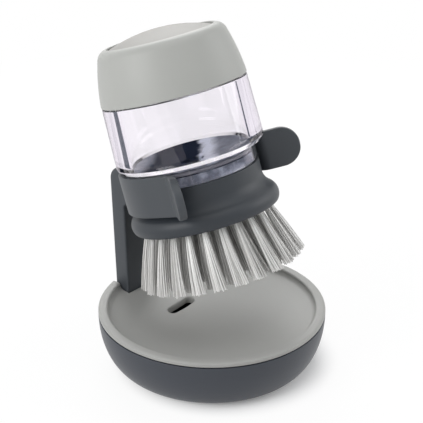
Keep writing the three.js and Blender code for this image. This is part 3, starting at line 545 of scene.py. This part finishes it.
class Finish(Nodes):
    """A material with its shader."""

    def __init__(self, name, **shader):
        self.material = bpy.data.materials.new(name)
        self.material.use_nodes = True
        super().__init__(self.material.node_tree)
        self.shader = self.tree.nodes["Principled BSDF"]
        for socket, value in shader.items():
            self.shader.inputs[socket.replace("_", " ")].default_value = value
        self.place = self.add("ShaderNodeTexCoord", output="Object")

    def noise(self, scale, detail=2.0, roughness=0.5):
        """Noise of a scale per metre on the object's coordinates."""
        return self.add("ShaderNodeTexNoise", None, {
            "Vector": self.place, "Scale": scale, "Detail": detail, "Roughness": roughness,
        }, "Fac")

    def measured(self, operation, vector):
        """The dot product or the distance of a place and a vector."""
        return self.add("ShaderNodeVectorMath", {"operation": operation}, {0: self.place, 1: vector}, "Value")

    def along(self, direction, start=(0, 0, 0)):
        """The distance of a place from a start along a direction, in metres."""
        return self.measured("DOT_PRODUCT", direction) - float(np.dot(start, direction))

    def set(self, **wires):
        """Links wires to the shader's sockets."""
        for socket, wire in wires.items():
            self.tree.links.new(wire.socket, self.shader.inputs[socket.replace("_", " ")])
        return self

    def bumped(self, height, distance):
        """Relief of a height in metres on the shader's normal."""
        normal = self.add("ShaderNodeBump", None, {"Height": height, "Distance": distance, "Strength": 1.0})
        return self.set(Normal=normal)


def colour(red, green, blue, factor=1.0):
    """A colour written as it shows on screen, 0 to 255, as linear light."""
    c = np.array([red, green, blue]) / 255
    linear = np.where(c <= 0.04045, c / 12.92, ((c + 0.055) / 1.055) ** 2.4) * factor
    return (*linear.tolist(), 1.0)


def moulded(name, tone, roughness, **shader):
    """Spark-textured moulded plastic: fine grain in the relief and the gloss, faint clouding in colour."""
    finish = Finish(name, IOR=1.47, **shader)
    fine, cloud = finish.noise(SPARK_GRAIN, 3.0), finish.noise(CLOUDING, 3.0)
    pits = finish.ramp(finish.noise(SPARK_PITS), 0.34, 0.62)
    darker, lighter = colour(*tone, 0.94), colour(*tone, 1.05)
    finish.set(
        Base_Color=finish.blend(darker, lighter, cloud * 0.7 + fine * 0.3),
        Roughness=roughness - 0.05 + 0.07 * fine + 0.05 * cloud,
    )
    return finish.bumped(fine * 0.6 + pits * 0.4, FINE_RELIEF).material


def clear_plastic():
    """Clear polymer: smooth, faintly lavender, with very shallow flow marks from moulding."""
    finish = Finish("clear polymer", Base_Color=colour(252, 250, 253), Roughness=0.0, IOR=1.49,
                    Transmission_Weight=1.0)
    flow = finish.noise(26.0, 1.0)
    return finish.bumped(flow, FLOW_RELIEF).material


def slate_plug_painted_light():
    """The plug behind the clear wall: dull dark blue-grey plastic with painted light over it: paler
    patches of painted reflection, on the floor mostly towards one side, pale painted streaks on its side, and
    a painted highlight as a bright line at the wall's foot."""
    finish = Finish("slate plug with painted light", Specular_IOR_Level=0.0, Coat_Roughness=0.2, Coat_IOR=1.5)
    park = (0, PARK_Y * MM, PARK_Z * MM)
    x, v = finish.along((1, 0, 0)), finish.along((0, np.cos(LEAN), -np.sin(LEAN)), park)
    s = finish.along((0, np.sin(LEAN), np.cos(LEAN)), park)
    across = ACROSS_X * x - ACROSS_V * v
    cloud, fine = finish.noise(150.0, 3.0, 0.6), finish.noise(420.0, 3.0)
    # Painted light: pale patches and streaks that stand in for reflections seen through the clear wall, and a
    # painted highlight along the foot of the plug's side.
    wall = finish.between(x * x + v * v, *WALL_START)
    ends = finish.between(across, *PAINTED_RIGHT) * 0.42 + finish.between(across, *PAINTED_LEFT) * 0.6
    uneven = across + PATCH_UNEVEN * (cloud - 0.5)
    light_patch = finish.between(uneven, *PATCH_START) * finish.between(across, *PATCH_END)
    floor_painted_light = (light_patch * 1.4 + ends * 0.8) * (0.3 + 1.1 * cloud) * (1 - wall)
    streaks = 0.24 + finish.between(cloud, 0.42, 0.66) * 0.36
    painted_light = floor_painted_light + wall * streaks.either(finish.between(s, *PAINTED_FOOT_LINE))
    finish.set(
        Base_Color=finish.blend(colour(36, 42, 58), colour(226, 234, 252), painted_light.most(1.0)),
        Roughness=0.6 + 0.3 * cloud, Coat_Weight=painted_light.most(1.0),
    )
    return finish.bumped(fine, FINE_RELIEF).material


def bristle_nylon():
    """Off-white nylon: each filament has its own tone and fine streaks; the lower tones of the middle and
    inner rows are painted shade.
    """
    finish = Finish("bristle nylon", IOR=1.53)
    tone = finish.add("ShaderNodeAttribute", {"attribute_name": "tone"}, None, "Fac")
    streak = finish.noise(700.0)
    finish.set(
        Base_Color=finish.blend(colour(138, 136, 132), colour(252, 251, 249), tone * 0.8 + streak * 0.2),
        Roughness=0.3 + 0.12 * streak,
    )
    return finish.bumped(streak, FINE_RELIEF).material


def rubber(name, tone):
    """Matt rubber with a fine bloom."""
    finish = Finish(name, IOR=1.5)
    bloom, fine = finish.noise(60.0, 4.0), finish.noise(3200.0)
    finish.set(
        Base_Color=finish.blend(colour(*tone, 0.9), colour(*tone, 1.12), bloom),
        Roughness=0.72 + 0.15 * fine,
    )
    return finish.bumped(fine, BLOOM_RELIEF).material


def steel():
    """Bright steel with fine turning marks."""
    finish = Finish("screw steel", Metallic=1.0)
    marks = finish.noise(1500.0, 3.0)
    finish.set(
        Base_Color=finish.blend(colour(176, 178, 180), colour(205, 206, 207), marks),
        Roughness=0.26 + 0.14 * marks,
    )
    return finish.bumped(marks, TURNING_RELIEF).material


LIGHT_GREY = moulded("light grey shell", (178, 179, 175), 0.44)
TRAY_GREY = moulded("light grey tray", (169, 169, 166), 0.48)
PALE_GREY = moulded("pale grey button", (159, 157, 153), 0.48)
SLATE = moulded("slate grip", (47, 52, 58), 0.46)
CRADLE_SLATE = moulded("slate cradle", (66, 70, 75), 0.46)
PLUG_PAINTED_LIGHT = slate_plug_painted_light()
BASE_SLATE = moulded("slate bowl", (59, 63, 71), 0.46, Sheen_Weight=0.2, Sheen_Roughness=0.3)
CLEAR = clear_plastic()
NYLON = bristle_nylon()
SILICONE = rubber("soft silicone", (206, 207, 203))
DARK_RUBBER = rubber("dark rubber", (46, 49, 51))
SMOKE_RUBBER = rubber("smoke silicone", (146, 148, 156))
STEEL = steel()


# Pieces of the stand

# The bowl's side is a quarter of an ellipse: r = foot + (R - foot) sin t, z = top - height cos t.
bowl_t = np.linspace(0, np.pi / 2, BOWL_POINTS)
bowl_out = np.stack([BOWL_FOOT_R + (BOWL_R - BOWL_FOOT_R) * np.sin(bowl_t),
                     BOWL_TOP - (BOWL_TOP - BOWL_BOTTOM) * np.cos(bowl_t)], -1)
bowl_in = (bowl_out[bowl_out[:, 1] > BOWL_FLOOR_TOP + HEEL_RISE] - [BOWL_WALL, 0])[::-1]
bowl = eased([
    (0, BOWL_FLOOR_UNDER), (PAD_RECESS_R, BOWL_FLOOR_UNDER, FINE), (PAD_RECESS_R, BOWL_BOTTOM, FINE),
    *bowl_out[:-1], (BOWL_R, BOWL_TOP, FINE), (BOWL_R - BOWL_WALL, BOWL_TOP, SOFT), *bowl_in[1:],
    (bowl_in[-1][0] - HEEL_W, BOWL_FLOOR_TOP), (0, BOWL_FLOOR_TOP),
])
piece("bowl_shell", "stand", BASE_SLATE, [turned(bowl, closed=False)], ["base_bowl"])
piece("tray_shell", "tray", TRAY_GREY, [tray_rim(), tray_dish()], ["drip_tray"])
piece("cradle_arms", "stand", CRADLE_SLATE, [cradle_band()], ["cradle_post"])
piece("cradle_stem", "stand", CRADLE_SLATE, [post_body()], ())


# Pieces of the brush

reservoir = eased([
    (BORE_R, NECK_BOTTOM, MILD), (NECK_R - NECK_BEVEL, NECK_BOTTOM, SLIGHT),
    (NECK_R, NECK_BOTTOM + NECK_BEVEL, MILD), (NECK_R, SHOULDER_UNDER, NOOK_ROUND),
    (SHOULDER_R - SHOULDER_BEVEL, SHOULDER_UNDER, BEVEL_ROUND), (SHOULDER_R, SHOULDER_EDGE, SHOULDER_ROUND),
    (SHOULDER_R, SHOULDER_TOP), (BODY_TOP_R, BODY_H, SOFT), (MOUTH_R, BODY_H, FINE),
    (MOUTH_R, MOUTH_TOP, FINE), (BORE_R, MOUTH_TOP, FINE),
], closed=True)
mouth_ridge = ridge(MOUTH_R - MOUTH_SINK, MOUTH_R + THREAD_DEPTH, THREAD_BASE, THREAD_W)
piece("clear_reservoir", "brush", CLEAR, [on_axis(reservoir), mouth_ridge], ["reservoir"])

# At a share h of its height, the cap's side is drawn in by taper (linear h + (1 - linear) h^2).
cap_h = np.linspace(0, 1, CAP_SIDE_POINTS)
cap_side = np.stack([CAP_R - CAP_TAPER * (CAP_LINEAR * cap_h + (1 - CAP_LINEAR) * cap_h ** 2),
                     CAP_BOTTOM + cap_h * CAP_SIDE_H], -1)
cap = eased([
    (CAP_R, CAP_BOTTOM, MILD), *cap_side[1:-1],
    *arc(CAP_OPENING, CAP_CREST - CAP_ROUND, CAP_ROUND, CAP_SIDE_DEG, CAP_ROUND_END, CAP_ROUND_STEPS),
    (CAP_OPENING, CAP_CREST, SOFT), (CAP_OPENING, SLEEVE_BOTTOM, FINE), (CAP_LEDGE_R, SLEEVE_BOTTOM),
    (CAP_LEDGE_R, CAP_LEDGE), (CAP_IN, CAP_LEDGE), (CAP_IN, CAP_BOTTOM, MILD),
], closed=True)
cap_ridge = ridge(CAP_IN + CAP_SINK, CAP_IN - THREAD_DEPTH, THREAD_BASE + PITCH / 2, -THREAD_W)
piece("cap_cover", "cap", LIGHT_GREY, [on_axis(cap), cap_ridge], ["cap_shell"])

# The button's top is a cap of a sphere: its radius is (edge^2 + rise^2) / (2 rise).
dome_r = (BUTTON_R ** 2 + BUTTON_DOME ** 2) / (2 * BUTTON_DOME)
dome_deg = np.degrees(np.arcsin(BUTTON_R / dome_r))
dome_top = BUTTON_EDGE + BUTTON_DOME
dome = arc(0, dome_top - dome_r, dome_r, 90 - dome_deg + DOME_SET_DEG, 90, DOME_STEPS)
button = eased([
    (0, BUTTON_UNDER), (BUTTON_IN, BUTTON_UNDER), (BUTTON_IN, STOP_BOTTOM), (STOP_R, STOP_BOTTOM, FINE),
    (STOP_R, STOP_TOP, FINE), (BUTTON_R, STOP_TOP), (BUTTON_R, BUTTON_EDGE, SOFT), *dome[:-1], (0, dome_top),
])
piece("palm_button", "button", PALE_GREY, [on_axis(button, False)], ["press_button"])

# The bellows' wall swings between its largest radius and a fold less: R - fold (1 + cos t) / 2.
fold_t = np.linspace(0, TURN * BELLOWS_FOLDS, BELLOWS_POINTS)
fold_r = BELLOWS_R - BELLOWS_FOLD * (1 + np.cos(fold_t)) / 2
fold_s = np.linspace(BELLOWS_TOP - BELLOWS_WALL, BELLOWS_BOTTOM + BELLOWS_WALL, BELLOWS_POINTS)
outer_wall = np.stack([fold_r, fold_s], -1)
inner_wall = (outer_wall - [BELLOWS_WALL, 0])[::-1]
bellows_foot = BELLOWS_R + BELLOWS_FOOT
bellows = eased([
    (0, BELLOWS_TOP), (fold_r[0], BELLOWS_TOP, MILD), *outer_wall,
    (bellows_foot, BELLOWS_BOTTOM + BELLOWS_WALL, FINE), (bellows_foot, BELLOWS_BOTTOM, SLIGHT),
    (fold_r[-1] - BELLOWS_WALL, BELLOWS_BOTTOM, SLIGHT), *inner_wall, (0, BELLOWS_TOP - BELLOWS_WALL),
], steps=4)
pump = piece("pump_folds", "cap", SILICONE, [on_axis(bellows, False)], ["pump_bellows"])
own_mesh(pump)

lip_edge_r = LIP_CENTRE_R + LIP_ROUND * np.cos(np.radians(LIP_END))
head = eased([
    (CHAMBER_R, HEAD_TOP), (NECK_R, HEAD_TOP, SOFT),
    *arc(FLARE_CENTRE_R, FLARE_TOP, FLARE_R, 180, 180 + FLARE_DEG, FLARE_STEPS),
    *arc(LIP_CENTRE_R, LIP_S, LIP_ROUND, FLARE_DEG, LIP_END, LIP_STEPS)[1:],
    (lip_edge_r - LIP_DRAWN_IN, LIP_UNDER, LIP_EDGE_ROUND), (RECESS_R, LIP_UNDER, MILD),
    (RECESS_R, BLOCK_SEAT), (RECESS_R - SEAT_W, BLOCK_SEAT), (FLARE_IN, FLARE_TOP),
], closed=True)
groove_top, groove_bottom, spout_r = SEAL_S + GROOVE_HALF, SEAL_S - GROOVE_HALF, SOAP_R + SOAP_WALL
plug = eased([
    (SOAP_R, FUNNEL_BOTTOM, FUNNEL_ROUND), (PLUG_R - FUNNEL_BRIM, PLUG_TOP, BRIM_ROUND),
    (PLUG_R, PLUG_TOP, MILD), (PLUG_R, groove_top, GROOVE_LIP_ROUND), (GROOVE_R, groove_top, SLIGHT),
    (GROOVE_R, groove_bottom, SLIGHT), (PLUG_R, groove_bottom, GROOVE_LIP_ROUND), (PLUG_R, HEAD_TOP),
    (CHAMBER_R, HEAD_TOP), (CHAMBER_R, CHAMBER_TOP), (spout_r, CHAMBER_TOP), (spout_r, BLOCK_SEAT),
    (SOAP_R, BLOCK_SEAT),
], closed=True)
piece("head_shell", "brush", SLATE, [on_axis(head)], ["head_collar"])
piece("head_plug", "brush", PLUG_PAINTED_LIGHT, [on_axis(plug)], ())
seal_t = np.linspace(0, TURN, SEAL_POINTS, endpoint=False)
seal = np.stack([SEAL_CENTRE_R + SEAL_R * np.cos(seal_t), SEAL_S + SEAL_R * np.sin(seal_t)], -1)
piece("plug_ring", "brush", SMOKE_RUBBER, [on_axis(seal)], ["head_seal"])

# The dark disc that the tufts stand in
plate = eased([
    (PLATE_BORE, PLATE_BOTTOM, FINE), (PLATE_R, PLATE_BOTTOM, FINE), (PLATE_R, PLATE_TOP, FINE),
    (PLATE_BORE, PLATE_TOP, FINE),
], steps=3, closed=True)
piece("tuft_plate", "brush", SLATE, [on_axis(plate)], ())
for seed, (row, sizes) in enumerate(TUFT_ROWS.items(), FIRST_SEED):
    strands, strand_faces, strand_tone = tuft_ring(seed=seed, **sizes)
    piece(row.replace("bristles", "tufts"), "brush", NYLON, [(strands, strand_faces)], [row],
          strand_tone)

for node, finish in {
    "base_pad": DARK_RUBBER, "post_screw_left": STEEL, "post_screw_right": STEEL, "cap_gasket": DARK_RUBBER,
    "pump_plate": PALE_GREY, "air_valve": SILICONE, "bristle_block": SLATE, "slit_valve": SILICONE,
    "valve_retainer": SLATE,
}.items():
    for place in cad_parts[node].material_slots:
        place.material = finish


# Floor, light and camera, in metres

FLOOR_HALF, FLOOR_TONE, FLOOR_LIFT = 6, (0.9, 0.9, 0.9, 1), 0.16
SHADE_CENTRE, SHADE_EDGE, SHADE_CLEARED, SHADE_END = (0.004, -0.005, 0.0), (0.042, 0.058), 0.9, (0.2, 0.5)
TABLE_TONE, ROOM_TONE, CEILING_TONE = colour(242, 238, 245), colour(64, 72, 86), colour(250, 250, 252)

# Soft edges of the dark shapes on the floor that only mirrored rays find
CARD_SLANT, CARD_RIGHT, CARD_LEFT, CARD_FRONT = 0.43, (0.106, 0.102), (0.04, 0.046), (0.06, 0.07)
STRIPE_NEAR, STRIPE_FAR, STRIPE_START = (-0.38, -0.35), (-0.22, -0.26), (0.6, 0.7)
FRONT_X, FRONT_Y = ((-0.08, -0.14), (-0.5, -0.45)), ((-0.16, -0.1), (0.2, 0.15))

FILL_TONE, FILL, CEILING_START, BACK_START = (0.97, 0.985, 1.0, 1), 0.39, (0.3, 0.6), (0.3, 0.5)
LAMP_AIM = (0, 0, 0.08)
EYE, AIM = (-0.4050, -0.3149, 0.3175), (0.0015, 0.0014, 0.0774)
SENSOR_MM, FOCAL_PIXELS, PICTURE_PIXELS = 36.0, 1200, 423


def pale_floor():
    """A white floor: plain diffuse white for the light it sends back, lifted a little for the eye, and
    plain white away from the object. Rays that a clear wall has mirrored find a dark card behind the
    object, a narrow dark stripe far to its right and a dark stretch in front."""
    finish = Finish("pale floor", Base_Color=FLOOR_TONE, Roughness=1.0, Specular_IOR_Level=0.0)
    white, mirrored = finish.rays()
    matt = Wire(finish, finish.shader.outputs[0])
    lift = finish.glow("ShaderNodeEmission", WHITE, FLOOR_LIFT)
    lifted = finish.add("ShaderNodeAddShader", None, {0: matt, 1: lift})
    reach = finish.measured("DISTANCE", SHADE_CENTRE)
    away = (finish.between(reach, *SHADE_EDGE) * SHADE_CLEARED).either(finish.between(reach, *SHADE_END))
    shown = finish.mixed(lifted, finish.glow("ShaderNodeEmission", WHITE), away)
    plain = finish.mixed(matt, shown, white)
    x, y = finish.along((1, 0, 0)), finish.along((0, 1, 0))
    card = finish.within(x + CARD_SLANT * y, CARD_RIGHT, CARD_LEFT) * finish.between(y, *CARD_FRONT)
    stripe = finish.within(y, STRIPE_NEAR, STRIPE_FAR) * finish.between(x, *STRIPE_START)
    front = finish.within(x, *FRONT_X) * finish.within(y, *FRONT_Y)
    studio = finish.blend(TABLE_TONE, ROOM_TONE, stripe.either(card).either(front))
    dim = finish.glow("ShaderNodeEmission", studio)
    finish.show(finish.mixed(plain, dim, mirrored), "Material Output")
    return finish.material


def look(made, position, target):
    """Places an object and turns its -Z axis towards a target, its Y axis upwards."""
    back = np.array(position, float) - np.array(target, float)
    back = back / np.linalg.norm(back)
    right = np.cross([0, 0, 1], back)
    right = right / np.linalg.norm(right)
    up = np.cross(back, right)
    matrix = np.eye(4)
    matrix[:3, 0], matrix[:3, 1], matrix[:3, 2], matrix[:3, 3] = right, up, back, position
    made.matrix_world = matrix.T.tolist()


def soft_box(name, position, size, watts):
    """A square lamp turned towards the object."""
    lamp = bpy.data.lights.new(name, "AREA")
    lamp.shape, lamp.size, lamp.energy = "SQUARE", size, watts
    made = bpy.data.objects.new(name, lamp)
    bpy.context.scene.collection.objects.link(made)
    look(made, position, LAMP_AIM)


floor_mesh = bpy.data.meshes.new("floor")
floor_corners = [(x * FLOOR_HALF, y * FLOOR_HALF, 0) for x, y in ((-1, -1), (1, -1), (1, 1), (-1, 1))]
floor_mesh.from_pydata(floor_corners, [], [(0, 1, 2, 3)])
floor_mesh.materials.append(pale_floor())
floor = bpy.data.objects.new("floor", floor_mesh)
bpy.context.scene.collection.objects.link(floor)

soft_box("left_box", (-0.89, 0.24, 0.55), 0.6, 4.7)
soft_box("top_box", (-0.1, -0.2, 1.1), 0.8, 1.9)
soft_box("back_box", (0.52, 0.59, 0.7), 0.6, 4.2)
soft_box("right_box", (0.68, -0.58, 0.5), 0.6, 2.5)

world = bpy.data.worlds.new("studio")
bpy.context.scene.world = world
world.use_nodes = True
sky = Nodes(world.node_tree)
white, mirrored = sky.rays()
toward = sky.add("ShaderNodeTexCoord", output="Generated")
depth, height = (sky.add("ShaderNodeSeparateXYZ", None, {0: toward}, axis) for axis in ("Y", "Z"))
bright = sky.between(height, *CEILING_START).either(sky.between(depth, *BACK_START))
fill = sky.glow("ShaderNodeBackground", FILL_TONE, FILL)
backdrop = sky.glow("ShaderNodeBackground", WHITE)
studio = sky.glow("ShaderNodeBackground", sky.blend(ROOM_TONE, CEILING_TONE, bright))
sky.show(sky.mixed(sky.mixed(fill, backdrop, white), studio, mirrored), "World Output")

lens = bpy.data.cameras.new("camera")
lens.lens, lens.sensor_width = SENSOR_MM * FOCAL_PIXELS / PICTURE_PIXELS, SENSOR_MM
lens.sensor_fit = "HORIZONTAL"
camera = bpy.data.objects.new("camera", lens)
bpy.context.scene.collection.objects.link(camera)
look(camera, EYE, AIM)
bpy.context.scene.camera = camera
bpy.context.scene.view_settings.view_transform = "Standard"
